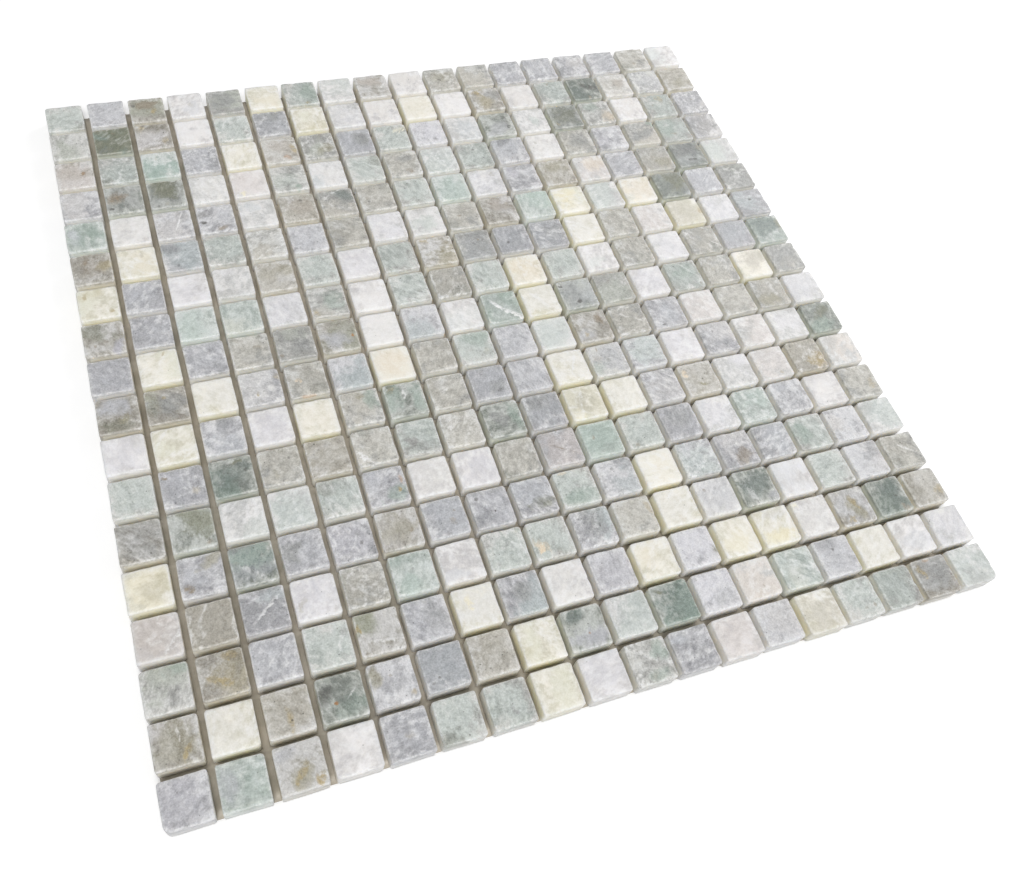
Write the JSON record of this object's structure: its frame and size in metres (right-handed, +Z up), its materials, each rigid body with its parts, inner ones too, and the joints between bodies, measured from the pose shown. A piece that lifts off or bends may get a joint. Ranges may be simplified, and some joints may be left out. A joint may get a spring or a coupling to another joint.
{
  "type": "mosaic tile sheet",
  "caption": "Square sheet of small tumbled marble tiles in mixed pale, green, cream and taupe stones, laid in an even grid with open joints on a glass-fibre scrim.",
  "frame": {"origin": "middle of the sheet's underside, on the surface that the sheet lies on", "axes": "+Z up out of the tiles' faces; +X along a row of tiles, to the viewer's right; +Y from the front row to the back row"},
  "size_m": [0.3044, 0.3044, 0.008],
  "materials": {
    "glass_scrim": "open glass-fibre strands, bonded with clear size",
    "cream_marble": "tumbled and honed, soft satin",
    "white_marble": "tumbled and honed, soft satin",
    "dark_green_marble": "tumbled and honed, soft satin",
    "mint_marble": "tumbled and honed, soft satin",
    "taupe_marble": "tumbled and honed, ochre stains, soft satin",
    "lavender_grey_marble": "tumbled and honed, soft satin",
    "green_grey_marble": "tumbled and honed, soft satin",
    "pale_grey_marble": "tumbled and honed, soft satin"
  },
  "bodies": {
    "root": {"scrim_warp": "glass_scrim", "scrim_weft": "glass_scrim", "cream_tiles": "cream_marble", "white_tiles": "white_marble", "dark_green_tiles": "dark_green_marble", "mint_tiles": "mint_marble", "taupe_tiles": "taupe_marble", "lavender_grey_tiles": "lavender_grey_marble", "green_grey_tiles": "green_grey_marble", "pale_grey_tiles": "pale_grey_marble"}
  },
  "joints": []
}
